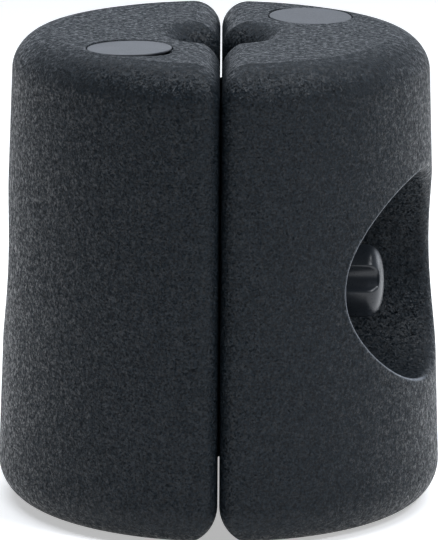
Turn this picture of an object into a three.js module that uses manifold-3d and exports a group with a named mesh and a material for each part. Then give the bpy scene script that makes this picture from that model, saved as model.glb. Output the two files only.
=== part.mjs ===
// A two-part leg weight: two identical hollow plastic tanks, one turned half a turn, stand round a pole.
// Millimetres, +Z up. The origin is the centre of the base circle, on the ground, on the pole's axis.
import * as THREE from "three";
import { mergeVertices } from "three/addons/utils/BufferGeometryUtils.js";
import Module from "manifold-3d";

const wasm = await Module();
wasm.setup();

// The tank's outside
const HEIGHT = 300;
const BASE_RADIUS = 141.8;
const TOP_RADIUS = 131.2;
const SPLIT_GAP = 1;
const POLE_RADIUS = 25;
const TOP_FILLET = 18;
const BOTTOM_FILLET = 26;
const OUTER_CORNER = 13;
const INNER_CORNER = 11;
const SHARPEST_CORNER = 0.8;
const WALL = 3.5;
const SEAT_GAP = 0.3;

// The knob pocket, whose axis runs along X, and the screw in it
const SCREW_Y = -48;
const SCREW_Z = 150.5;
const POCKET_Z = 154.8;
const POCKET_FLOOR = 66;
const POCKET_FLOOR_RADIUS = 61.6;
const POCKET_DRAFT = 0.064;
const POCKET_CORNER = 14;
const PAST_TANK = 160;
const KNOB_RADIUS = 24;
const KNOB_LENGTH = 34.4;
const KNOB_DOME = 16;
const KNOB_SQUARENESS = 2.35;
const DOME_STEPS = 7;
const KNOB_HUB_RADIUS = 13;
const KNOB_LOBES = 4;
const FLUTE_RADIUS = 8;
const FLUTE_DISTANCE = 26.2;
const FLUTE_REACH = 21.5;
const KNOB_TURN = THREE.MathUtils.degToRad(17);
const BOLT_RADIUS = 5;
const BOLT_TIP = -17;
const HEAD_RADIUS = 9.2;
const HEAD_HEIGHT = 6.4;
const HEAD_DEPTH = 17;
const WASHER_RADIUS = 14;
const WASHER_THICKNESS = 2;
const TUNNEL_RADIUS = 6.5;

// The threaded insert that takes the other half's screw
const INSERT_RADIUS = 8;
const INSERT_FLANGE = 10.5;
const INSERT_FLANGE_THICKNESS = 1.6;
const INSERT_LENGTH = 18;

// The tongue on one side of the split face and the groove on the other
const TONGUE_Y = 88;
const TONGUE_WIDTH = 10;
const TONGUE_LENGTH = 206;
const TONGUE_PROUD = 5;
const GROOVE_CLEARANCE = 1.2;

// The filler at the top
const PLUG_X = 57;
const PLUG_Y = 56;
const RECESS_RADIUS = 27;
const RECESS_DEPTH = 2.5;
const NECK_RADIUS = 19.2;
const NECK_DEPTH = 19;
const PLUG_RADIUS = 26.4;
const PLUG_PROUD = 0.7;
const PLUG_SKIRT_RADIUS = 18.7;
const PLUG_SKIRT_WALL = 2.4;
const PLUG_SKIRT_DEPTH = 16;
const SEAL_DEPTH = 8;
const SEAL_SECTION = 1.2;
const SEAL_RADIUS = 17.6;
const NOTCH_RADIUS = 15;
const NOTCH_OFFSET = 16;
const NOTCH_DEPTH = 6;

const tankPlastic = { color: 0x24272a, roughness: 0.62, metalness: 0 };
const plugPlastic = { color: 0x303338, roughness: 0.4, metalness: 0 };
const knobPlastic = { color: 0x1c1e21, roughness: 0.3, metalness: 0 };
const zincSteel = { color: 0xb4b7ba, roughness: 0.35, metalness: 1 };
const brass = { color: 0xb08d4a, roughness: 0.4, metalness: 1 };
const sealRubber = { color: 0x131415, roughness: 0.8, metalness: 0 };

// Turns a closed three.js geometry into a manifold-3d solid, for cutting and joining.
function solid(geometry) {
  geometry.deleteAttribute("normal");
  geometry.deleteAttribute("uv");
  const merged = mergeVertices(geometry, 1e-4);
  return new wasm.Manifold(
    new wasm.Mesh({
      numProp: 3,
      vertProperties: new Float32Array(merged.attributes.position.array),
      triVerts: new Uint32Array(merged.index.array),
    }),
  );
}

// Turns a manifold-3d solid back into a named three.js mesh.
function mesh(name, body, look) {
  const data = body.getMesh();
  const geometry = new THREE.BufferGeometry();
  geometry.setAttribute("position", new THREE.BufferAttribute(new Float32Array(data.vertProperties), 3));
  geometry.setIndex(new THREE.BufferAttribute(new Uint32Array(data.triVerts), 1));
  geometry.computeVertexNormals();
  const made = new THREE.Mesh(geometry, new THREE.MeshStandardMaterial(look));
  made.name = name;
  return made;
}

// A solid turned about +Z from a profile of [radius, height] points, listed from the bottom up.
function turned(profile, segments) {
  const points = profile.map(([radius, height]) => new THREE.Vector2(radius, height));
  const geometry = new THREE.LatheGeometry(points, segments);
  return solid(geometry.rotateX(Math.PI / 2));
}

// The same, laid along +X: the profile's heights become x, and the axis goes through (y, z).
function turnedAlongX(profile, segments, y, z) {
  const points = profile.map(([radius, along]) => new THREE.Vector2(radius, along));
  const geometry = new THREE.LatheGeometry(points, segments);
  return solid(geometry.rotateZ(-Math.PI / 2).translate(0, y, z));
}

// Points [radius, height] on an arc of a profile, with angles in degrees.
function profileArc(radius, height, size, from, to, steps) {
  return Array.from({ length: steps + 1 }, (_, i) => {
    const angle = THREE.MathUtils.degToRad(from + ((to - from) * i) / steps);
    return [radius + size * Math.cos(angle), height + size * Math.sin(angle)];
  });
}

function block(fromX, toX, fromY, toY, fromZ, toZ) {
  const box = new THREE.BoxGeometry(toX - fromX, toY - fromY, toZ - fromZ);
  return solid(box.translate((fromX + toX) / 2, (fromY + toY) / 2, (fromZ + toZ) / 2));
}

// Points on an arc of a plan outline, with angles in radians. The last point is left to the next stretch.
function planArc(x, y, radius, from, to, steps) {
  return Array.from({ length: steps }, (_, i) => {
    const angle = from + ((to - from) * i) / steps;
    return new THREE.Vector2(x + radius * Math.cos(angle), y + radius * Math.sin(angle));
  });
}

// The half ring seen from above, drawn in by inset all round. Every inset gives the same number of points.
function planOutline(outerRadius, inset) {
  const outer = outerRadius - inset;
  const face = SPLIT_GAP / 2 + inset;
  const pole = POLE_RADIUS + inset;
  const outerCorner = Math.max(OUTER_CORNER - inset, SHARPEST_CORNER);
  const innerCorner = Math.max(INNER_CORNER - inset, SHARPEST_CORNER);
  const outerX = face + outerCorner;
  const outerY = Math.sqrt((outer - outerCorner) ** 2 - outerX ** 2);
  const innerX = face + innerCorner;
  const innerY = Math.sqrt((pole + innerCorner) ** 2 - innerX ** 2);
  const outerAngle = Math.atan2(outerY, outerX);
  const innerAngle = Math.atan2(innerY, innerX);
  return [
    ...planArc(outerX, -outerY, outerCorner, Math.PI, 2 * Math.PI - outerAngle, 4),
    ...planArc(0, 0, outer, -outerAngle, outerAngle, 26),
    ...planArc(outerX, outerY, outerCorner, outerAngle, Math.PI, 4),
    new THREE.Vector2(face, outerY),
    ...planArc(innerX, innerY, innerCorner, Math.PI, Math.PI + innerAngle, 4),
    ...planArc(0, 0, pole, innerAngle, -innerAngle, 10),
    ...planArc(innerX, -innerY, innerCorner, Math.PI - innerAngle, Math.PI, 4),
    new THREE.Vector2(face, -innerY),
  ];
}

function coneRadius(z) {
  return BASE_RADIUS - ((BASE_RADIUS - TOP_RADIUS) * z) / HEIGHT;
}

// The heights and insets of the rings of a tank surface that lies this far inside the outer one.
function tankRings(depth, steps) {
  const bottom = BOTTOM_FILLET - depth;
  const top = TOP_FILLET - depth;
  const rings = [];
  for (let i = 0; i <= steps; i += 1) {
    const angle = (Math.PI / 2) * (i / steps);
    const z = depth + bottom * (1 - Math.cos(angle));
    rings.push({ z, inset: depth + bottom * (1 - Math.sin(angle)) });
  }
  for (let i = 0; i <= steps; i += 1) {
    const angle = (Math.PI / 2) * (1 - i / steps);
    const z = HEIGHT - depth - top * (1 - Math.cos(angle));
    rings.push({ z, inset: depth + top * (1 - Math.sin(angle)) });
  }
  return rings;
}

// The tapered half ring with filleted edges: its rings joined by a skin and closed at both ends.
function tankSolid(depth, steps) {
  const rings = tankRings(depth, steps);
  const outlines = rings.map(({ z, inset }) => planOutline(coneRadius(z), inset));
  const count = outlines[0].length;
  const positions = outlines.flatMap((outline, i) => outline.flatMap((p) => [p.x, p.y, rings[i].z]));
  const faces = [];
  for (let ring = 0; ring < rings.length - 1; ring += 1) {
    for (let i = 0; i < count; i += 1) {
      const next = (i + 1) % count;
      const low = ring * count;
      const high = low + count;
      faces.push(low + i, low + next, high + next);
      faces.push(low + i, high + next, high + i);
    }
  }
  const last = (rings.length - 1) * count;
  for (const [a, b, c] of THREE.ShapeUtils.triangulateShape(outlines[0], [])) faces.push(a, c, b);
  for (const [a, b, c] of THREE.ShapeUtils.triangulateShape(outlines.at(-1), [])) {
    faces.push(last + a, last + b, last + c);
  }
  const geometry = new THREE.BufferGeometry();
  geometry.setAttribute("position", new THREE.Float32BufferAttribute(positions, 3));
  geometry.setIndex(faces);
  return solid(geometry);
}

// The round hand pocket in the outer wall, or with a margin the wall that lines it inside the tank.
function knobPocket(margin, segments) {
  const floor = POCKET_FLOOR - margin;
  const floorRadius = POCKET_FLOOR_RADIUS + margin;
  const corner = POCKET_CORNER + margin;
  const mouthRadius = floorRadius + POCKET_DRAFT * (PAST_TANK - floor);
  const profile = [
    [0, floor],
    ...profileArc(floorRadius - corner, floor + corner, corner, -90, 0, 4),
    [mouthRadius, PAST_TANK],
    [0, PAST_TANK],
  ];
  return turnedAlongX(profile, segments, SCREW_Y, POCKET_Z);
}

function rodAlongX(radius, from, to, y, segments) {
  return turnedAlongX([[0, from], [radius, from], [radius, to], [0, to]], segments, y, SCREW_Z);
}

function rodAlongZ(radius, from, to, x, y, segments) {
  return turned([[0, from], [radius, from], [radius, to], [0, to]], segments).translate([x, y, 0]);
}

// A rib along the split face, from one x to another, grown by margin on its sides and ends.
function splitRib(fromX, toX, y, margin) {
  const halfWidth = TONGUE_WIDTH / 2 + margin;
  const halfLength = TONGUE_LENGTH / 2 + margin;
  const middle = HEIGHT / 2;
  return block(fromX, toX, y - halfWidth, y + halfWidth, middle - halfLength, middle + halfLength);
}

// The hollow inside: the tank drawn in by its wall, less what reaches into it.
function tankCavity() {
  const face = SPLIT_GAP / 2;
  const grooveFloor = face + TONGUE_PROUD + WALL;
  const bossRadius = INSERT_RADIUS + SEAT_GAP + WALL;
  const bossEnd = face + INSERT_LENGTH + 2 * SEAT_GAP + WALL;
  const notchRadius = NOTCH_RADIUS + WALL;
  const [notchX, notchY] = notchCentre();
  return tankSolid(WALL, 3)
    .subtract(knobPocket(WALL, 32))
    .subtract(rodAlongX(TUNNEL_RADIUS + WALL, 0, POCKET_FLOOR, SCREW_Y, 16))
    .subtract(rodAlongX(bossRadius, 0, bossEnd, -SCREW_Y, 16))
    .subtract(splitRib(0, grooveFloor, -TONGUE_Y, GROOVE_CLEARANCE + WALL))
    .subtract(rodAlongZ(NECK_RADIUS + WALL, HEIGHT - NECK_DEPTH, HEIGHT, PLUG_X, PLUG_Y, 28))
    .subtract(rodAlongZ(RECESS_RADIUS + WALL, HEIGHT - RECESS_DEPTH - WALL, HEIGHT, PLUG_X, PLUG_Y, 28))
    .subtract(rodAlongZ(notchRadius, HEIGHT - NOTCH_DEPTH - WALL, HEIGHT, notchX, notchY, 20));
}

// The thumb notch beside the plug lies on the side away from the tank's outer corner.
function notchCentre() {
  const shift = NOTCH_OFFSET / Math.SQRT2;
  return [PLUG_X - shift, PLUG_Y + shift];
}

function tankShell() {
  const face = SPLIT_GAP / 2;
  const grooveFloor = face + TONGUE_PROUD;
  const above = HEIGHT + WALL;
  const insertSeat = INSERT_RADIUS + SEAT_GAP;
  const insertEnd = face + INSERT_LENGTH + 2 * SEAT_GAP;
  const flangeSeat = INSERT_FLANGE + SEAT_GAP;
  const flangeEnd = face + INSERT_FLANGE_THICKNESS + 2 * SEAT_GAP;
  const [notchX, notchY] = notchCentre();
  return tankSolid(0, 5)
    .add(splitRib(face - TONGUE_PROUD, face + WALL, TONGUE_Y, 0))
    .subtract(tankCavity())
    .subtract(knobPocket(0, 40))
    .subtract(rodAlongX(TUNNEL_RADIUS, -face, POCKET_FLOOR + 1, SCREW_Y, 20))
    .subtract(rodAlongX(insertSeat, -face, insertEnd, -SCREW_Y, 20))
    .subtract(rodAlongX(flangeSeat, -face, flangeEnd, -SCREW_Y, 20))
    .subtract(splitRib(-face, grooveFloor, -TONGUE_Y, GROOVE_CLEARANCE))
    .subtract(rodAlongZ(NECK_RADIUS, HEIGHT - NECK_DEPTH - WALL, above, PLUG_X, PLUG_Y, 36))
    .subtract(rodAlongZ(RECESS_RADIUS, HEIGHT - RECESS_DEPTH, above, PLUG_X, PLUG_Y, 36))
    .subtract(neckClearNotch(notchX, notchY, above));
}

// The notch is cut outside the neck's own rim, so that the plug's seal stays whole.
function neckClearNotch(x, y, above) {
  const rim = rodAlongZ(NECK_RADIUS + WALL, HEIGHT - NECK_DEPTH, above, PLUG_X, PLUG_Y, 36);
  return rodAlongZ(NOTCH_RADIUS, HEIGHT - NOTCH_DEPTH, above, x, y, 24).subtract(rim);
}

// The push-in plug: a flat disc over a hollow skirt, with a groove round the skirt for its seal.
function fillPlug() {
  const top = HEIGHT + PLUG_PROUD;
  const under = HEIGHT - RECESS_DEPTH + SEAT_GAP;
  const foot = HEIGHT - PLUG_SKIRT_DEPTH;
  const bore = PLUG_SKIRT_RADIUS - PLUG_SKIRT_WALL - 2 * SEAL_SECTION;
  const groove = SEAL_RADIUS - SEAL_SECTION - SEAT_GAP;
  const grooveHalf = SEAL_SECTION + SEAT_GAP;
  const sealZ = HEIGHT - SEAL_DEPTH;
  const edge = 1;
  return turned(
    [
      [0, under + edge],
      [bore - edge, under + edge],
      [bore, under],
      [bore, foot],
      [PLUG_SKIRT_RADIUS - edge, foot],
      [PLUG_SKIRT_RADIUS, foot + edge],
      [PLUG_SKIRT_RADIUS, sealZ - grooveHalf],
      [groove, sealZ - grooveHalf],
      [groove, sealZ + grooveHalf],
      [PLUG_SKIRT_RADIUS, sealZ + grooveHalf],
      [PLUG_SKIRT_RADIUS, under],
      [PLUG_RADIUS, under],
      ...profileArc(PLUG_RADIUS - edge, top - edge, edge, 0, 90, 3),
      [0, top],
    ],
    30,
  ).translate([PLUG_X, PLUG_Y, 0]);
}

function plugSeal() {
  const ring = profileArc(SEAL_RADIUS, HEIGHT - SEAL_DEPTH, SEAL_SECTION, 0, 360, 6);
  ring[ring.length - 1] = ring[0];
  return turned(ring, 24).translate([PLUG_X, PLUG_Y, 0]);
}

// The x of the knob's underside, above the washer on the pocket floor.
const KNOB_BASE = POCKET_FLOOR + WASHER_THICKNESS + 2 * SEAT_GAP;

// The outside of the knob: a narrow hub, a full waist and a domed end, as a squarish ellipse.
function knobOutside() {
  const end = KNOB_BASE + KNOB_LENGTH;
  const domeStart = end - KNOB_DOME;
  const dome = [];
  for (let i = 0; i < DOME_STEPS; i += 1) {
    const share = Math.sin((Math.PI / 2) * (i / DOME_STEPS));
    const radius = KNOB_RADIUS * (1 - share ** KNOB_SQUARENESS) ** (1 / KNOB_SQUARENESS);
    dome.push([radius, domeStart + KNOB_DOME * share]);
  }
  const profile = [
    [0, KNOB_BASE],
    [KNOB_HUB_RADIUS, KNOB_BASE],
    [KNOB_HUB_RADIUS, KNOB_BASE + 3],
    ...profileArc(KNOB_RADIUS - 6, KNOB_BASE + 11, 6, -80, 0, 4),
    ...dome,
    [0, end],
  ];
  return turnedAlongX(profile, 36, SCREW_Y, SCREW_Z);
}

// One finger flute: a rod with a round end that runs along the knob's side and stops short of its dome.
function flute(index) {
  const length = 40;
  const capsule = new THREE.CapsuleGeometry(FLUTE_RADIUS, length, 4, 14, 1);
  capsule.rotateZ(-Math.PI / 2);
  capsule.translate(KNOB_BASE + FLUTE_REACH - length / 2, -FLUTE_DISTANCE, 0);
  capsule.rotateX(-KNOB_TURN + (index * 2 * Math.PI) / KNOB_LOBES);
  return solid(capsule.translate(0, SCREW_Y, SCREW_Z));
}

function clampKnob() {
  const headSeat = KNOB_BASE + HEAD_DEPTH - SEAT_GAP;
  const headEnd = headSeat + HEAD_HEIGHT + 2 * SEAT_GAP;
  let knob = knobOutside();
  for (let i = 0; i < KNOB_LOBES; i += 1) {
    knob = knob.subtract(flute(i));
  }
  return knob
    .subtract(rodAlongX(BOLT_RADIUS + SEAT_GAP, KNOB_BASE - 1, headSeat + 1, SCREW_Y, 20))
    .subtract(rodAlongX(HEAD_RADIUS + SEAT_GAP, headSeat, headEnd, SCREW_Y, 20));
}

// The bolt: its hexagon head sits inside the knob, and its tip is chamfered.
function clampBolt() {
  const headStart = KNOB_BASE + HEAD_DEPTH;
  const headEnd = headStart + HEAD_HEIGHT;
  const chamfer = 1.5;
  const shank = turnedAlongX(
    [
      [0, BOLT_TIP],
      [BOLT_RADIUS - chamfer, BOLT_TIP],
      [BOLT_RADIUS, BOLT_TIP + chamfer],
      [BOLT_RADIUS, headStart + 1],
      [0, headStart + 1],
    ],
    24,
    SCREW_Y,
    SCREW_Z,
  );
  return shank.add(rodAlongX(HEAD_RADIUS, headStart, headEnd, SCREW_Y, 6));
}

function knobWasher() {
  const bore = BOLT_RADIUS + 2 * SEAT_GAP;
  const from = POCKET_FLOOR + SEAT_GAP;
  const to = from + WASHER_THICKNESS;
  const section = [[bore, from], [WASHER_RADIUS, from], [WASHER_RADIUS, to], [bore, to], [bore, from]];
  return turnedAlongX(section, 24, SCREW_Y, SCREW_Z);
}

// The flanged insert, with grooves round it that key it into the plastic.
function threadInsert() {
  const bore = BOLT_RADIUS + SEAT_GAP;
  const mouth = SPLIT_GAP / 2 + SEAT_GAP;
  const flange = mouth + INSERT_FLANGE_THICKNESS;
  const end = mouth + INSERT_LENGTH;
  const groove = 1.2;
  const grooves = [0.35, 0.7].flatMap((share) => {
    const at = flange + share * (end - flange);
    return [
      [INSERT_RADIUS, at - groove],
      [INSERT_RADIUS - groove, at],
      [INSERT_RADIUS, at + groove],
    ];
  });
  const profile = [
    [bore, mouth],
    [INSERT_FLANGE, mouth],
    [INSERT_FLANGE, flange],
    [INSERT_RADIUS, flange],
    ...grooves,
    [INSERT_RADIUS, end],
    [bore, end],
    [bore, mouth],
  ];
  return turnedAlongX(profile, 20, -SCREW_Y, SCREW_Z);
}

// One half, in its own frame: its split face looks along -X.
function weightHalf(side) {
  const half = new THREE.Group();
  half.add(
    mesh(side + "_tank", tankShell(), tankPlastic),
    mesh(side + "_fill_plug", fillPlug(), plugPlastic),
    mesh(side + "_plug_seal", plugSeal(), sealRubber),
    mesh(side + "_clamp_knob", clampKnob(), knobPlastic),
    mesh(side + "_clamp_bolt", clampBolt(), zincSteel),
    mesh(side + "_knob_washer", knobWasher(), zincSteel),
    mesh(side + "_thread_insert", threadInsert(), brass),
  );
  return half;
}

const legWeight = new THREE.Group();
const rightHalf = weightHalf("right");
const leftHalf = weightHalf("left");
leftHalf.rotation.z = Math.PI;
legWeight.add(rightHalf, leftHalf);

export default legWeight;
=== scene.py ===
"""The looks of a two-part leg weight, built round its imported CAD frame.

Each shape is written once, in the right half's own frame, in millimetres. The left half is the same piece
turned half a turn about the pole. Smooth moulded shapes are distance fields, which are turned into meshes.
"""

import math

import bmesh
import bpy
import numpy as np
from mathutils import Matrix, Vector


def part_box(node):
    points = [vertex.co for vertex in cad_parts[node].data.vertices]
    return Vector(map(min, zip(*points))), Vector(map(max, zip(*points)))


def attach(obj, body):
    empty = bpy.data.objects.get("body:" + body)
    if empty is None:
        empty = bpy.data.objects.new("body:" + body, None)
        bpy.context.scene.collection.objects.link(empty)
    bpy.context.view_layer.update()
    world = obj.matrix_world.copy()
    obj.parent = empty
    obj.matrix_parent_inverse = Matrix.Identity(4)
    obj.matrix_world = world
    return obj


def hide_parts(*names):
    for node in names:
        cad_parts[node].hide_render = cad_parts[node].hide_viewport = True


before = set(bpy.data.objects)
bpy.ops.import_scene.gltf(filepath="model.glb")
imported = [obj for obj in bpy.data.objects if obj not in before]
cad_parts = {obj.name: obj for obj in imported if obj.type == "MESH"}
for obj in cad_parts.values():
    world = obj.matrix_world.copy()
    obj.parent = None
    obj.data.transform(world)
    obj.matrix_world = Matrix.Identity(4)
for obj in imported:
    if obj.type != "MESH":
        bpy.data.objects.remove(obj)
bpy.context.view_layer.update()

MM = 0.001

# Driving sizes, in millimetres, as in the CAD
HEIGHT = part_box("right_tank")[1].z / MM
FACE = 0.5
BASE_RADIUS = 141.5
TOP_RADIUS = 130.95
POLE_RADIUS = 25.0
TOP_FILLET = 18.0
BOTTOM_FILLET = 26.0
OUTER_CORNER = 13.0
INNER_CORNER = 11.0
CREASE_RADIUS = 107.5
CREASE_SLOPE = 0.19
CREASE_BEAD = 0.2
CREASE_BEAD_WIDTH = 1.2
WALL = 3.5
SCREW_Y = -48.0
SCREW_Z = 150.5
POCKET_Z = 154.8
POCKET_FLOOR = 66.0
POCKET_FLOOR_RADIUS = 61.6
POCKET_DRAFT = 0.064
POCKET_CORNER = 14.0
POCKET_RIM = 2.0
POCKET_RIM_FAR = 8.0
# The next size is the width of the painted highlight along the pocket's rim
POCKET_RIM_HIGHLIGHT_WIDTH = 1.9
TUNNEL_RADIUS = 6.5
INSERT_SEAT_RADIUS = 8.3
INSERT_SEAT_END = FACE + 18.6
FLANGE_SEAT_RADIUS = 10.8
FLANGE_SEAT_END = FACE + 2.2
RIB_Y = 88.0
RIB_HALF_LENGTH = 103.0
RIB_HALF_WIDTH = 5.0
RIB_PROUD = 5.0
GROOVE_CLEARANCE = 1.2
PLUG_X = 57.0
PLUG_Y = 56.0
PLUG_TILT = math.radians(1.4)
PLUG_SUNK = 0.65
RECESS_RADIUS = 26.95
RECESS_DEPTH = 2.5
NECK_RADIUS = 19.2
NECK_DEPTH = 19.0
NOTCH_RADIUS = 15.0
NOTCH_OFFSET = 16.0
NOTCH_DEPTH = 6.0
THREAD_PITCH = 1.5
THREAD_STEP = 0.25

# The distance fields' meshes: the space each is sampled in, the cell size and the share of faces that is kept
TANK_SPACE = ((-8.3, -143.1, -3.2), (143.2, 143.4, HEIGHT + 3.1))
TANK_CELL = 1.7
TANK_SHARE = 0.22
KNOB_SPACE = ((-1.1, -25.7, -25.6), (35.9, 25.8, 25.9))
KNOB_CELL = 0.75
KNOB_SHARE = 1.0
# An edge is split where the surface turns by more than this across it
TURN_LIMIT = math.cos(math.radians(16))


# ---------------------------------------------------------------- distance fields


def rounded_max(a, b, radius):
    """The overlap of two shapes, with the outer edge where they meet rounded to radius."""
    outside = np.hypot(np.maximum(a + radius, 0), np.maximum(b + radius, 0))
    return outside + np.minimum(np.maximum(a, b) + radius, 0) - radius


def rounded_min(a, b, radius):
    """The union of two shapes, with the inner corner where they meet filled to radius."""
    return -rounded_max(-a, -b, radius)


def cylinder_z(p, x, y, radius):
    return np.hypot(p[0] - x, p[1] - y) - radius


def cylinder_x(p, y, z, radius):
    return np.hypot(p[1] - y, p[2] - z) - radius


def rib_sides(p, y, margin):
    across = np.abs(p[1] - y) - RIB_HALF_WIDTH - margin
    along = np.abs(p[2] - HEIGHT / 2) - RIB_HALF_LENGTH - margin
    return rounded_max(across, along, 4.0)


def plain_body(p):
    """The tapered half ring with all its edges rounded, before anything is cut."""
    x, y, z = p
    radius = BASE_RADIUS - (BASE_RADIUS - TOP_RADIUS) * z / HEIGHT
    from_pole = np.hypot(x, y)
    half_disc = rounded_max(from_pole - radius, FACE - x, OUTER_CORNER)
    plan = rounded_max(half_disc, POLE_RADIUS - from_pole, INNER_CORNER)
    past_crease = from_pole - CREASE_RADIUS
    bead = CREASE_BEAD * np.exp(-((past_crease / CREASE_BEAD_WIDTH) ** 2))
    top = HEIGHT + bead - CREASE_SLOPE * np.maximum(past_crease, 0)
    upper = rounded_max(plan, z - top, TOP_FILLET)
    lower = rounded_max(plan, -z, BOTTOM_FILLET)
    return np.where(z > HEIGHT / 2, upper, lower)


def knob_pocket(p):
    wall = POCKET_FLOOR_RADIUS + POCKET_DRAFT * (p[0] - POCKET_FLOOR)
    side = cylinder_x(p, SCREW_Y, POCKET_Z, 0) - wall
    return rounded_max(side, POCKET_FLOOR - p[0], POCKET_CORNER)


def pocket_rim(p):
    """The rounding of the pocket's rim, which grows towards the side where the wall falls away."""
    share = np.clip((p[1] - SCREW_Y + 14) / 50, 0, 1)
    return POCKET_RIM + (POCKET_RIM_FAR - POCKET_RIM) * share**2 * (3 - 2 * share)


def thumb_notch(p):
    shift = NOTCH_OFFSET / math.sqrt(2)
    well = cylinder_z(p, PLUG_X - shift, PLUG_Y + shift, NOTCH_RADIUS)
    well = rounded_max(well, HEIGHT - NOTCH_DEPTH - p[2], 2.5)
    return np.maximum(well, -cylinder_z(p, PLUG_X, PLUG_Y, NECK_RADIUS + WALL))


def moulded_outside(p):
    """The tank as one solid lump: its outside with every recess, but with no hollow and no neck bore."""
    field = plain_body(p)
    tongue = np.maximum(rib_sides(p, RIB_Y, 0), np.maximum(FACE - RIB_PROUD - p[0], p[0] - 10))
    field = rounded_min(field, tongue, 0.6)
    field = rounded_max(field, -knob_pocket(p), pocket_rim(p))
    field = rounded_max(field, -cylinder_x(p, SCREW_Y, SCREW_Z, TUNNEL_RADIUS), 0.8)
    groove = np.maximum(rib_sides(p, -RIB_Y, GROOVE_CLEARANCE), p[0] - FACE - RIB_PROUD)
    field = rounded_max(field, -groove, 0.8)
    seat = np.maximum(cylinder_x(p, -SCREW_Y, SCREW_Z, INSERT_SEAT_RADIUS), p[0] - INSERT_SEAT_END)
    flange = np.maximum(cylinder_x(p, -SCREW_Y, SCREW_Z, FLANGE_SEAT_RADIUS), p[0] - FLANGE_SEAT_END)
    field = rounded_max(field, -np.minimum(seat, flange), 0.3)
    recess = np.maximum(cylinder_z(p, PLUG_X, PLUG_Y, RECESS_RADIUS), HEIGHT - RECESS_DEPTH - p[2])
    return rounded_max(field, -np.minimum(recess, thumb_notch(p)), 0.7)


def tank(p):
    """The tank: its outside, hollowed to the wall, with the neck bored through into the hollow."""
    outside = moulded_outside(p)
    collar = np.maximum(
        cylinder_z(p, PLUG_X, PLUG_Y, NECK_RADIUS + WALL), HEIGHT - NECK_DEPTH - p[2]
    )
    hollow = np.maximum(outside + WALL, -collar)
    bore = np.maximum(
        cylinder_z(p, PLUG_X, PLUG_Y, NECK_RADIUS), HEIGHT - NECK_DEPTH - WALL - p[2]
    )
    return rounded_max(np.maximum(outside, -hollow), -bore, 0.3)


def field_gradient(field, points, step):
    """The direction in which the field grows, at points given as an array of rows."""
    gradient = np.empty_like(points)
    for axis in range(3):
        shift = np.zeros(3)
        shift[axis] = step
        gradient[:, axis] = field((points + shift).T) - field((points - shift).T)
    return gradient / (2 * step)


def settle(field, points, rounds):
    """Moves points onto the field's surface."""
    for _ in range(rounds):
        gradient = field_gradient(field, points, 0.02)
        steepness = np.maximum((gradient**2).sum(1), 0.2)
        move = field(points.T) / steepness
        points = points - gradient * np.clip(move, -0.8, 0.8)[:, None]
    return points


def surface_net(field, low, high, cell):
    """Points and four-sided faces on the surface where field is 0, by the surface nets method."""
    counts = [int(math.ceil((b - a) / cell)) + 1 for a, b in zip(low, high)]
    axes = [a + cell * np.arange(n) for a, n in zip(low, counts)]
    values = np.empty(counts, np.float32)
    for i, x in enumerate(axes[0]):
        y, z = np.meshgrid(axes[1], axes[2], indexing="ij")
        values[i] = field(np.stack([np.full_like(y, x), y, z]))
    inside = values < 0
    cells = tuple(n - 1 for n in counts)
    total = np.zeros(cells + (3,))
    crossings = np.zeros(cells)
    for axis in range(3):
        near = [slice(None)] * 3
        far = [slice(None)] * 3
        near[axis] = slice(0, -1)
        far[axis] = slice(1, None)
        a, b = values[tuple(near)], values[tuple(far)]
        crosses = inside[tuple(near)] != inside[tuple(far)]
        share = np.where(crosses, a / np.where(crosses, a - b, 1), 0)
        others = [k for k in range(3) if k != axis]
        for u in (0, 1):
            for v in (0, 1):
                cut = [slice(None)] * 3
                cut[others[0]] = slice(u, u + cells[others[0]])
                cut[others[1]] = slice(v, v + cells[others[1]])
                cut = tuple(cut)
                hit = crosses[cut]
                crossings += hit
                total[..., axis] += hit * share[cut]
                total[..., others[0]] += hit * u
                total[..., others[1]] += hit * v
    used = crossings > 0
    index = np.full(cells, -1)
    index[used] = np.arange(used.sum())
    spots = np.argwhere(used)
    points = (spots + total[used] / crossings[used][:, None]) * cell + np.array(low)
    faces = []
    for axis in range(3):
        near = [slice(1, -1)] * 3
        far = [slice(1, -1)] * 3
        near[axis] = slice(0, -1)
        far[axis] = slice(1, None)
        start, end = inside[tuple(near)], inside[tuple(far)]
        offset = np.ones(3, int)
        offset[axis] = 0
        for flip, edges in ((False, start & ~end), (True, ~start & end)):
            at = np.argwhere(edges) + offset
            one, two = [k for k in range(3) if k != axis]
            if axis == 1:
                one, two = two, one
            corners = []
            for du, dv in ((-1, -1), (0, -1), (0, 0), (-1, 0)):
                spot = at.copy()
                spot[:, one] += du
                spot[:, two] += dv
                corners.append(index[tuple(spot.T)])
            quad = np.stack(corners, 1)
            faces.append(quad[:, ::-1] if flip else quad)
    return points, np.concatenate(faces)


def mesh_from(name, points, faces):
    made = bpy.data.meshes.new(name)
    made.from_pydata(points.tolist(), [], faces.tolist())
    made.validate()
    made.update()
    return made


def field_normals(field, points, step):
    normals = field_gradient(field, points, step)
    return normals / np.maximum(np.linalg.norm(normals, axis=1), 1e-9)[:, None]


def vertex_rows(mesh):
    points = np.empty(len(mesh.vertices) * 3)
    mesh.vertices.foreach_get("co", points)
    return points.reshape(-1, 3)


def sharpen(field, mesh, least):
    """Splits the edges across which the surface turns, and puts the new points on the surface."""
    normals = field_normals(field, vertex_rows(mesh), 0.05)
    net = bmesh.new()
    net.from_mesh(mesh)
    net.verts.ensure_lookup_table()
    turning = []
    for edge in net.edges:
        a, b = (v.index for v in edge.verts)
        if edge.calc_length() > least and normals[a] @ normals[b] < TURN_LIMIT:
            turning.append(edge)
    bmesh.ops.subdivide_edges(net, edges=turning, cuts=1)
    bmesh.ops.triangulate(net, faces=net.faces)
    net.to_mesh(mesh)
    net.free()
    mesh.vertices.foreach_set("co", settle(field, vertex_rows(mesh), 3).ravel())
    mesh.update()


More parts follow.
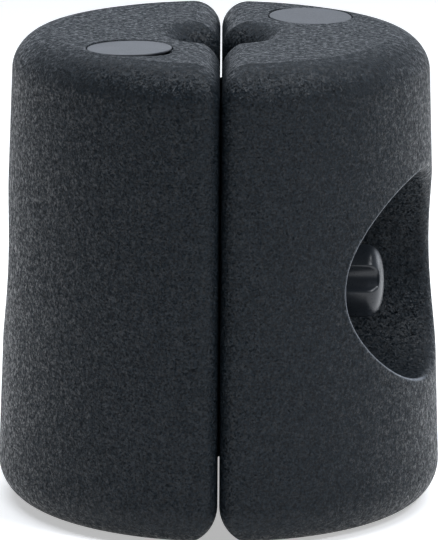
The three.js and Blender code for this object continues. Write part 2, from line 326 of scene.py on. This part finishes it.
def thinned(mesh, share):
    """The same mesh with only a share of its faces, fewer where it is flat."""
    piece = bpy.data.objects.new("thinning", mesh)
    bpy.context.collection.objects.link(piece)
    modifier = piece.modifiers.new("thin", "DECIMATE")
    modifier.ratio = share
    bpy.context.view_layer.update()
    depsgraph = bpy.context.evaluated_depsgraph_get()
    made = bpy.data.meshes.new_from_object(piece.evaluated_get(depsgraph))
    bpy.data.objects.remove(piece)
    return made


def field_mesh(name, field, space, cell, share):
    """A smooth mesh, in millimetres, of the surface where field is 0, shaded by the field's own normals."""
    points, faces = surface_net(field, *space, cell)
    points = settle(field, points, 3)
    made = mesh_from(name, points, faces)
    if share < 1:
        made = thinned(made, share)
    made.vertices.foreach_set("co", settle(field, vertex_rows(made), 2).ravel())
    made.update()
    for least in (1.2, 0.7):
        sharpen(field, made, least)
    made.shade_smooth()
    made.normals_split_custom_set_from_vertices(field_normals(field, vertex_rows(made), 0.12).tolist())
    return made


# ---------------------------------------------------------------- turned pieces


def arc(x, y, radius, start, end, steps):
    """Points on an arc, with angles in degrees."""
    angles = [math.radians(start + (end - start) * i / steps) for i in range(steps + 1)]
    return [(x + radius * math.cos(a), y + radius * math.sin(a)) for a in angles]


def rounded_outline(corners, closed):
    """A profile from (radius, height, rounding) corners: each is replaced by a short curve of that size."""
    points = []
    count = len(corners)
    for i, (x, y, size) in enumerate(corners):
        here = Vector((x, y))
        if size == 0 or (not closed and i in (0, count - 1)):
            points.append((x, y))
            continue
        back = Vector(corners[i - 1][:2]) - here
        ahead = Vector(corners[(i + 1) % count][:2]) - here
        reach = min(size, back.length * 0.49, ahead.length * 0.49)
        start = here + back.normalized() * reach
        end = here + ahead.normalized() * reach
        for step in range(5):
            t = step / 4
            point = start * (1 - t) ** 2 + here * 2 * t * (1 - t) + end * t**2
            points.append((point.x, point.y))
    return points


def turned_mesh(name, outline, closed, segments, radius_at=None):
    """A mesh turned about the Z axis from (radius, height) points, listed anticlockwise round the section."""
    points = []
    rings = len(outline)
    for radius, height in outline:
        for i in range(segments):
            angle = 2 * math.pi * i / segments
            r = radius if radius_at is None else radius_at(radius, height, angle)
            points.append((r * math.cos(angle), r * math.sin(angle), height))
    faces = []
    for ring in range(rings if closed else rings - 1):
        low = ring * segments
        high = (ring + 1) % rings * segments
        for i in range(segments):
            j = (i + 1) % segments
            faces.append((low + i, low + j, high + j, high + i))
    made = bpy.data.meshes.new(name)
    made.from_pydata(points, [], faces)
    net = bmesh.new()
    net.from_mesh(made)
    bmesh.ops.remove_doubles(net, verts=net.verts, dist=1e-5)
    bmesh.ops.dissolve_degenerate(net, edges=net.edges, dist=1e-6)
    bmesh.ops.recalc_face_normals(net, faces=net.faces)
    net.to_mesh(made)
    net.free()
    made.shade_smooth()
    made.set_sharp_from_angle(angle=math.radians(35))
    return made


def plug_mesh():
    """The fill plug, with its heights counted from the tank's top."""
    under = -RECESS_DEPTH + 1.6
    outline = rounded_outline(
        [
            (0, under, 0),
            (13.0, under, 1.5),
            (13.9, -16, 0.5),
            (17.6, -16, 0.4),
            (18.7, -14.6, 0.4),
            (18.7, -9.5, 0.2),
            (16.1, -9.5, 0.3),
            (16.1, -6.5, 0.3),
            (18.7, -6.5, 0.2),
            (18.7, under, 0.3),
            (26.0, under, 0.3),
            (26.4, under + 0.4, 0.3),
            (26.4, 0.62, 0.75),
            (25.2, 0.68, 0.5),
            (0, 0.56, 0),
        ],
        False,
    )
    return turned_mesh("fill_plug", outline, False, 128)


def seal_mesh():
    return turned_mesh("plug_seal", arc(17.6, -8, 1.19, 0, 345, 23), True, 96)


def washer_mesh():
    outline = rounded_outline([(5.6, 0, 0.3), (14, 0, 0.3), (14, 2, 0.3), (5.6, 2, 0.3)], True)
    return turned_mesh("knob_washer", outline, True, 96)


def insert_mesh():
    """The threaded insert: knurled outside, plain flange at its mouth."""

    def knurl(radius, height, angle):
        if 7.5 < radius < 8.1 and height > 2.2:
            return radius - 0.35 * abs(math.sin(24 * angle))
        if radius < 5.8:
            turn = (height / THREAD_PITCH - angle / (2 * math.pi)) % 1
            return radius + 0.35 * abs(2 * turn - 1)
        return radius

    outside = [
        (5.35, 0.3, 0),
        (10.4, 0, 0.4),
        (10.4, 1.6, 0.3),
        (8, 1.7, 0.2),
        (8, 6.3, 0.3),
        (6.8, 7.3, 0.3),
        (8, 8.3, 0.3),
        (8, 11.9, 0.3),
        (6.8, 13.0, 0.3),
        (8, 14.1, 0.3),
        (8, 18, 0.5),
        (5.35, 18, 0),
    ]
    outline = rounded_outline(outside, True)
    bore = [(5.35, 18 - THREAD_STEP * i) for i in range(1, 71)]
    return turned_mesh("thread_insert", outline + bore, True, 96, knurl)


def bolt_mesh():
    """The bolt from its tip up: a rolled thread, a plain shank, and the hexagon head inside the knob."""
    tip, thread_end, seat, top = -17.0, 28.0, 85.6, 92.0

    def thread(radius, height, angle):
        if radius > 5.5:
            flat = math.pi / 3
            return radius * math.cos(flat / 2) / math.cos((angle + math.pi / 6) % flat - flat / 2)
        if height > thread_end or radius < 1:
            return radius
        turn = (height / THREAD_PITCH - angle / (2 * math.pi)) % 1
        depth = 0.75 * abs(2 * turn - 1)
        fade = min(1, (height - tip) / THREAD_PITCH, (thread_end - height) / THREAD_PITCH)
        return radius - max(0, fade) * depth

    outline = [(0, tip), (3.6, tip), (4.95, tip + 1.4)]
    steps = int((thread_end - tip - 1.4) / THREAD_STEP)
    outline += [(4.95, tip + 1.4 + THREAD_STEP * (i + 1)) for i in range(steps)]
    outline += [(4.95, seat - 0.5), (5.4, seat), (9.15, seat), (9.15, top - 0.6), (8.5, top), (0, top)]
    return turned_mesh("clamp_bolt", outline, False, 48, thread)


# ---------------------------------------------------------------- the hand knob

KNOB_BASE = 68.6
KNOB_LENGTH = 34.4
KNOB_RADIUS = 24.0
KNOB_DOME = 12.0
KNOB_SQUARENESS = 2.4
KNOB_LOBES = 4
KNOB_TURN = math.radians(17)
FLUTE_RADIUS = 8.6
FLUTE_DISTANCE = 26.4
FLUTE_REACH = 29.5
FLUTE_END = 3.0


def knob(p):
    """The hand knob, along X from its underside at 0: a full waist, a domed end and one flute a lobe."""
    along = p[0]
    from_axis = np.hypot(p[1], p[2])
    dome_start = KNOB_LENGTH - KNOB_DOME
    past = np.maximum(along - dome_start, 0) / KNOB_DOME
    across = from_axis / KNOB_RADIUS
    size = (past**KNOB_SQUARENESS + across**KNOB_SQUARENESS) ** (1 / KNOB_SQUARENESS)
    waist = (size - 1) * KNOB_RADIUS * 0.8
    waist = rounded_max(waist, 5.6 - along - 0.12 * (KNOB_RADIUS - from_axis), 5.0)
    hub = rounded_max(from_axis - 13, -along, 0.6)
    hub = np.maximum(hub, along - 12)
    field = rounded_min(waist, hub, 2.0)
    for lobe in range(KNOB_LOBES):
        angle = math.pi - KNOB_TURN + lobe * 2 * math.pi / KNOB_LOBES
        y = FLUTE_DISTANCE * math.cos(angle)
        z = FLUTE_DISTANCE * math.sin(angle)
        beyond = np.maximum(along - FLUTE_REACH, 0) * FLUTE_RADIUS / FLUTE_END
        flute = np.sqrt((p[1] - y) ** 2 + (p[2] - z) ** 2 + beyond**2) - FLUTE_RADIUS
        field = rounded_max(field, -flute, 1.3)
    bore = np.maximum(from_axis - 5.3, along - 30)
    socket = np.maximum(from_axis - 9.5, np.abs(along - 20.2) - 3.5)
    return np.maximum(field, -np.minimum(bore, socket))


# ---------------------------------------------------------------- materials


class Nodes:
    """A small helper for building one material's node tree."""

    def __init__(self, name):
        self.material = bpy.data.materials.new(name)
        self.material.use_nodes = True
        self.tree = self.material.node_tree
        self.shader = self.tree.nodes["Principled BSDF"]
        coordinates = self.tree.nodes.new("ShaderNodeTexCoord")
        self.place = coordinates.outputs["Object"]

    def link(self, source, target):
        self.tree.links.new(source, target)

    def noise(self, scale, detail=2.0, roughness=0.5, distortion=0.0):
        node = self.tree.nodes.new("ShaderNodeTexNoise")
        node.inputs["Scale"].default_value = scale
        node.inputs["Detail"].default_value = detail
        node.inputs["Roughness"].default_value = roughness
        node.inputs["Distortion"].default_value = distortion
        self.link(self.place, node.inputs["Vector"])
        return node.outputs["Fac"]

    def ramp(self, value, low, high, first, second):
        node = self.tree.nodes.new("ShaderNodeMapRange")
        node.inputs["From Min"].default_value = low
        node.inputs["From Max"].default_value = high
        node.inputs["To Min"].default_value = first
        node.inputs["To Max"].default_value = second
        self.link(value, node.inputs["Value"])
        return node.outputs["Result"]

    def stored(self, name):
        """A value kept at each point of the mesh."""
        node = self.tree.nodes.new("ShaderNodeAttribute")
        node.attribute_name = name
        return node.outputs["Fac"]

    def mix(self, share, first, second):
        node = self.tree.nodes.new("ShaderNodeMix")
        node.data_type = "RGBA"
        if isinstance(first, tuple):
            node.inputs["A"].default_value = (*first, 1)
        else:
            self.link(first, node.inputs["A"])
        node.inputs["B"].default_value = (*second, 1)
        self.link(share, node.inputs["Factor"])
        return node.outputs["Result"]

    def bump(self, height, strength, distance, normal=None):
        node = self.tree.nodes.new("ShaderNodeBump")
        node.inputs["Strength"].default_value = strength
        node.inputs["Distance"].default_value = distance
        self.link(height, node.inputs["Height"])
        if normal is not None:
            self.link(normal, node.inputs["Normal"])
        return node.outputs["Normal"]

    def ruffle(self, scale, amount, normal):
        """Turns the normal a little one way and another, as grain finer than a bump can hold."""
        noise = self.tree.nodes.new("ShaderNodeTexNoise")
        noise.inputs["Scale"].default_value = scale
        noise.inputs["Detail"].default_value = 1.0
        self.link(self.place, noise.inputs["Vector"])
        centred = self.vector("SUBTRACT", noise.outputs["Color"], (0.5, 0.5, 0.5))
        scaled = self.vector("MULTIPLY", centred, (amount, amount, amount))
        return self.vector("NORMALIZE", self.vector("ADD", scaled, normal))

    def vector(self, operation, first, second=None):
        node = self.tree.nodes.new("ShaderNodeVectorMath")
        node.operation = operation
        self.link(first, node.inputs[0])
        if isinstance(second, tuple):
            node.inputs[1].default_value = second
        elif second is not None:
            self.link(second, node.inputs[1])
        return node.outputs["Vector"]

    def finish(self, colour, roughness, normal, specular=0.5, metallic=0.0):
        self.link(colour, self.shader.inputs["Base Color"])
        self.link(roughness, self.shader.inputs["Roughness"])
        self.link(normal, self.shader.inputs["Normal"])
        self.shader.inputs["Specular IOR Level"].default_value = specular
        self.shader.inputs["Metallic"].default_value = metallic
        return self.material


def grained_plastic():
    """The tank: black polyethylene from a mould with a fine etched grain, and a painted highlight along the
    pocket's rim.
    """
    n = Nodes("tank_plastic")
    speckle = n.ramp(n.noise(700, 2, 0.6), 0.36, 0.64, 0, 1)
    plain = n.mix(speckle, (0.0025, 0.004, 0.0055), (0.011, 0.0165, 0.022))
    # A pale line along the pocket's rim is painted into the colour as a highlight
    colour = n.mix(n.stored("painted_rim_highlight"), plain, (0.22, 0.24, 0.27))
    roughness = n.ramp(n.noise(300, 3, 0.6), 0.36, 0.64, 0.3, 0.68)
    waves = n.bump(n.noise(22, 2), 0.3, 0.004)
    coarse = n.bump(n.noise(560, 3, 0.65), 0.8, 0.0006, waves)
    grain = n.ruffle(260, 0.5, n.ruffle(600, 1.4, n.ruffle(1100, 1.3, coarse)))
    return n.finish(colour, roughness, grain, 0.2)


def smooth_plastic(name, dark, light, roughness, wave):
    """An injection-moulded piece: smooth, with faint flow marks and fine scuffs."""
    n = Nodes(name)
    colour = n.mix(n.ramp(n.noise(60, 3), 0.3, 0.7, 0, 1), dark, light)
    gloss = n.ramp(n.noise(900, 4, 0.7, 0.6), 0.3, 0.75, roughness - 0.05, roughness + 0.07)
    flow = n.bump(n.noise(45, 2, 0.5, 0.8), wave, 0.002)
    scuffs = n.bump(n.noise(1700, 3), 0.06, 0.0002, flow)
    return n.finish(colour, gloss, scuffs, 0.4)


def zinc_steel():
    n = Nodes("zinc_steel")
    colour = n.mix(n.ramp(n.noise(240, 4), 0.3, 0.7, 0, 1), (0.52, 0.53, 0.54), (0.68, 0.68, 0.66))
    gloss = n.ramp(n.noise(700, 4), 0.3, 0.7, 0.24, 0.42)
    return n.finish(colour, gloss, n.bump(n.noise(1300, 3), 0.12, 0.0002), 0.5, 1.0)


def turned_brass():
    n = Nodes("brass")
    colour = n.mix(n.ramp(n.noise(320, 3), 0.3, 0.7, 0, 1), (0.5, 0.34, 0.12), (0.62, 0.45, 0.19))
    gloss = n.ramp(n.noise(900, 3), 0.3, 0.7, 0.25, 0.42)
    return n.finish(colour, gloss, n.bump(n.noise(1500, 2), 0.1, 0.0002), 0.5, 1.0)


def seal_rubber():
    n = Nodes("seal_rubber")
    colour = n.mix(n.ramp(n.noise(300, 3), 0.3, 0.7, 0, 1), (0.012, 0.012, 0.013), (0.024, 0.024, 0.025))
    gloss = n.ramp(n.noise(600, 3), 0.3, 0.7, 0.6, 0.8)
    return n.finish(colour, gloss, n.bump(n.noise(1600, 2), 0.2, 0.0002))


# ---------------------------------------------------------------- the pieces

HALF_TURNS = {"right": Matrix.Identity(4), "left": Matrix.Rotation(math.pi, 4, "Z")}


def along_x(x, y, z):
    """Lays a piece made about Z along X, with its start at (x, y, z), in millimetres."""
    return Matrix.Translation((x, y, z)) @ Matrix.Rotation(math.pi / 2, 4, "Y")


def place(mesh, where, part, body, material):
    """Puts one copy of a mesh in each half, riding on that half's body, in place of its CAD node."""
    for side, turn in HALF_TURNS.items():
        data = mesh.copy()
        data.transform(Matrix.Scale(MM, 4) @ turn @ where)
        data.materials.clear()
        data.materials.append(material)
        piece = bpy.data.objects.new(f"{side}_{part}_look", data)
        bpy.context.collection.objects.link(piece)
        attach(piece, f"{side}_{body}")
        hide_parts(f"{side}_{part}")


def mark_painted_rim_highlight(mesh):
    """Keeps at each point how near it is to the pocket's rim, for the pale painted highlight along that rim.
    """
    points = vertex_rows(mesh).T
    from_rim = np.hypot(plain_body(points), knob_pocket(points)) / POCKET_RIM_HIGHLIGHT_WIDTH
    rim_highlight = np.clip(1 - from_rim**2, 0, 1)
    mesh.attributes.new("painted_rim_highlight", "FLOAT", "POINT").data.foreach_set("value", rim_highlight)


def build_tanks():
    body = field_mesh("tank", tank, TANK_SPACE, TANK_CELL, TANK_SHARE)
    mark_painted_rim_highlight(body)
    place(body, Matrix.Identity(4), "tank", "half", grained_plastic())


def build_screws():
    body = field_mesh("knob", knob, KNOB_SPACE, KNOB_CELL, KNOB_SHARE)
    glossy = smooth_plastic("knob_plastic", (0.012, 0.0145, 0.018), (0.02, 0.024, 0.03), 0.3, 0.08)
    at_knob = Matrix.Translation((KNOB_BASE, SCREW_Y, SCREW_Z))
    place(body, at_knob, "clamp_knob", "screw", glossy)
    steel = zinc_steel()
    place(bolt_mesh(), along_x(0, SCREW_Y, SCREW_Z), "clamp_bolt", "screw", steel)
    at_washer = along_x(POCKET_FLOOR + 0.3, SCREW_Y, SCREW_Z)
    place(washer_mesh(), at_washer, "knob_washer", "washer", steel)


def build_inserts():
    at_insert = along_x(FACE + 0.3, -SCREW_Y, SCREW_Z)
    place(insert_mesh(), at_insert, "thread_insert", "half", turned_brass())


def build_plugs():
    """The plugs and their seals, a little sunk and tilted, with the edge by the thumb notch just proud."""
    at_plug = Matrix.Translation((PLUG_X, PLUG_Y, HEIGHT))
    tilt = Matrix.Rotation(PLUG_TILT, 4, Vector((1, 1, 0)))
    settled = at_plug @ Matrix.Translation((0, 0, -PLUG_SUNK)) @ tilt
    satin = smooth_plastic("plug_plastic", (0.022, 0.025, 0.031), (0.03, 0.034, 0.041), 0.36, 0.05)
    place(plug_mesh(), settled, "fill_plug", "plug", satin)
    place(seal_mesh(), settled, "plug_seal", "plug", seal_rubber())


# ---------------------------------------------------------------- the stage

# The camera, in metres and radians, and its lens, in millimetres
CAMERA_SIDE = -0.0005
CAMERA_DISTANCE = 3.465
CAMERA_HEIGHT = 0.953
CAMERA_PITCH = 0.2289
CAMERA_ROLL = 0.0065
SENSOR_WIDTH = 36.0
FOCAL_LENGTH = 459.5

# The surroundings: brightness in front and behind, and where it starts to grow; its share overhead, and the
# heights between which it fades to that
DARK_SIDE = 0.1
LIGHT_SIDE = 1.15
GROWTH_START = -0.3
OVERHEAD_SHARE = 0.25
FADE_START = 0.25
FADE_END = 0.6
WHITE = (1, 1, 1, 1)
COOL_WHITE = (0.91, 0.98, 1.09, 1)
LAMP_COLOUR = (0.95, 0.985, 1.04)
FLOOR_SIZE = 60.0
FLOOR_GLOW = 0.45


def add_camera():
    data = bpy.data.cameras.new("camera")
    data.sensor_fit = "HORIZONTAL"
    data.sensor_width = SENSOR_WIDTH
    data.lens = FOCAL_LENGTH
    data.clip_end = 50
    camera = bpy.data.objects.new("camera", data)
    bpy.context.collection.objects.link(camera)
    turn = Matrix.Rotation(math.pi / 2 - CAMERA_PITCH, 4, "X") @ Matrix.Rotation(CAMERA_ROLL, 4, "Z")
    camera.matrix_world = Matrix.Translation((CAMERA_SIDE, -CAMERA_DISTANCE, CAMERA_HEIGHT)) @ turn
    bpy.context.scene.camera = camera


def add_floor():
    """A plain pale floor, which glows a little so that it shows white."""
    reach = FLOOR_SIZE / 2
    data = bpy.data.meshes.new("floor")
    corners = [(-reach, -reach, 0), (reach, -reach, 0), (reach, reach, 0), (-reach, reach, 0)]
    data.from_pydata(corners, [], [(0, 1, 2, 3)])
    material = bpy.data.materials.new("pale_floor")
    material.use_nodes = True
    shader = material.node_tree.nodes["Principled BSDF"]
    shader.inputs["Base Color"].default_value = (0.9, 0.9, 0.9, 1)
    shader.inputs["Roughness"].default_value = 0.9
    shader.inputs["Emission Color"].default_value = WHITE
    shader.inputs["Emission Strength"].default_value = FLOOR_GLOW
    data.materials.append(material)
    floor = bpy.data.objects.new("floor", data)
    bpy.context.collection.objects.link(floor)


def add_light(name, spot, size, power):
    """A soft square light that looks at the middle of the weight."""
    data = bpy.data.lights.new(name, "AREA")
    data.shape = "SQUARE"
    data.size = size
    data.energy = power
    data.color = LAMP_COLOUR
    lamp = bpy.data.objects.new(name, data)
    bpy.context.collection.objects.link(lamp)
    aim = Vector((0, 0, HEIGHT * MM / 2)) - Vector(spot)
    lamp.matrix_world = Matrix.Translation(spot) @ aim.to_track_quat("-Z", "Y").to_matrix().to_4x4()


def add_world():
    """Cool grey surroundings, lightest low down behind the weight, which the camera sees as plain white."""
    world = bpy.data.worlds.new("studio")
    world.use_nodes = True
    tree = world.node_tree
    direction = tree.nodes.new("ShaderNodeTexCoord").outputs["Generated"]
    split = tree.nodes.new("ShaderNodeSeparateXYZ")
    tree.links.new(direction, split.inputs["Vector"])
    shade = tree.nodes.new("ShaderNodeMapRange")
    shade.inputs["From Min"].default_value = GROWTH_START
    shade.inputs["To Min"].default_value = DARK_SIDE
    shade.inputs["To Max"].default_value = LIGHT_SIDE
    tree.links.new(split.outputs["Y"], shade.inputs["Value"])
    fall = tree.nodes.new("ShaderNodeMapRange")
    fall.inputs["From Min"].default_value = FADE_START
    fall.inputs["From Max"].default_value = FADE_END
    fall.inputs["To Min"].default_value = 1
    fall.inputs["To Max"].default_value = OVERHEAD_SHARE
    tree.links.new(split.outputs["Z"], fall.inputs["Value"])
    both = tree.nodes.new("ShaderNodeMath")
    both.operation = "MULTIPLY"
    tree.links.new(shade.outputs["Result"], both.inputs[0])
    tree.links.new(fall.outputs["Result"], both.inputs[1])
    camera_ray = tree.nodes.new("ShaderNodeLightPath").outputs["Is Camera Ray"]
    strength = tree.nodes.new("ShaderNodeMapRange")
    tree.links.new(camera_ray, strength.inputs["Value"])
    tree.links.new(both.outputs["Value"], strength.inputs["To Min"])
    tint = tree.nodes.new("ShaderNodeMix")
    tint.data_type = "RGBA"
    tint.inputs["A"].default_value = COOL_WHITE
    tint.inputs["B"].default_value = WHITE
    tree.links.new(camera_ray, tint.inputs["Factor"])
    backdrop = tree.nodes["Background"]
    tree.links.new(strength.outputs["Result"], backdrop.inputs["Strength"])
    tree.links.new(tint.outputs["Result"], backdrop.inputs["Color"])
    bpy.context.scene.world = world


def add_lighting():
    add_world()
    bpy.context.scene.view_settings.view_transform = "Standard"
    add_light("top", (0, 0.1, 1.9), 1.5, 27)
    add_light("right", (0.95, 0.1, 2.0), 0.4, 9)
    add_light("left", (-0.95, 0.1, 2.0), 0.4, 7)
    add_light("back", (1.5, 1.3, 0.45), 0.6, 2.5)
    add_light("front", (1.3, -1.0, 1.9), 0.5, 22)


build_tanks()
build_screws()
build_inserts()
build_plugs()
add_floor()
add_lighting()
add_camera()
bpy.context.view_layer.update()
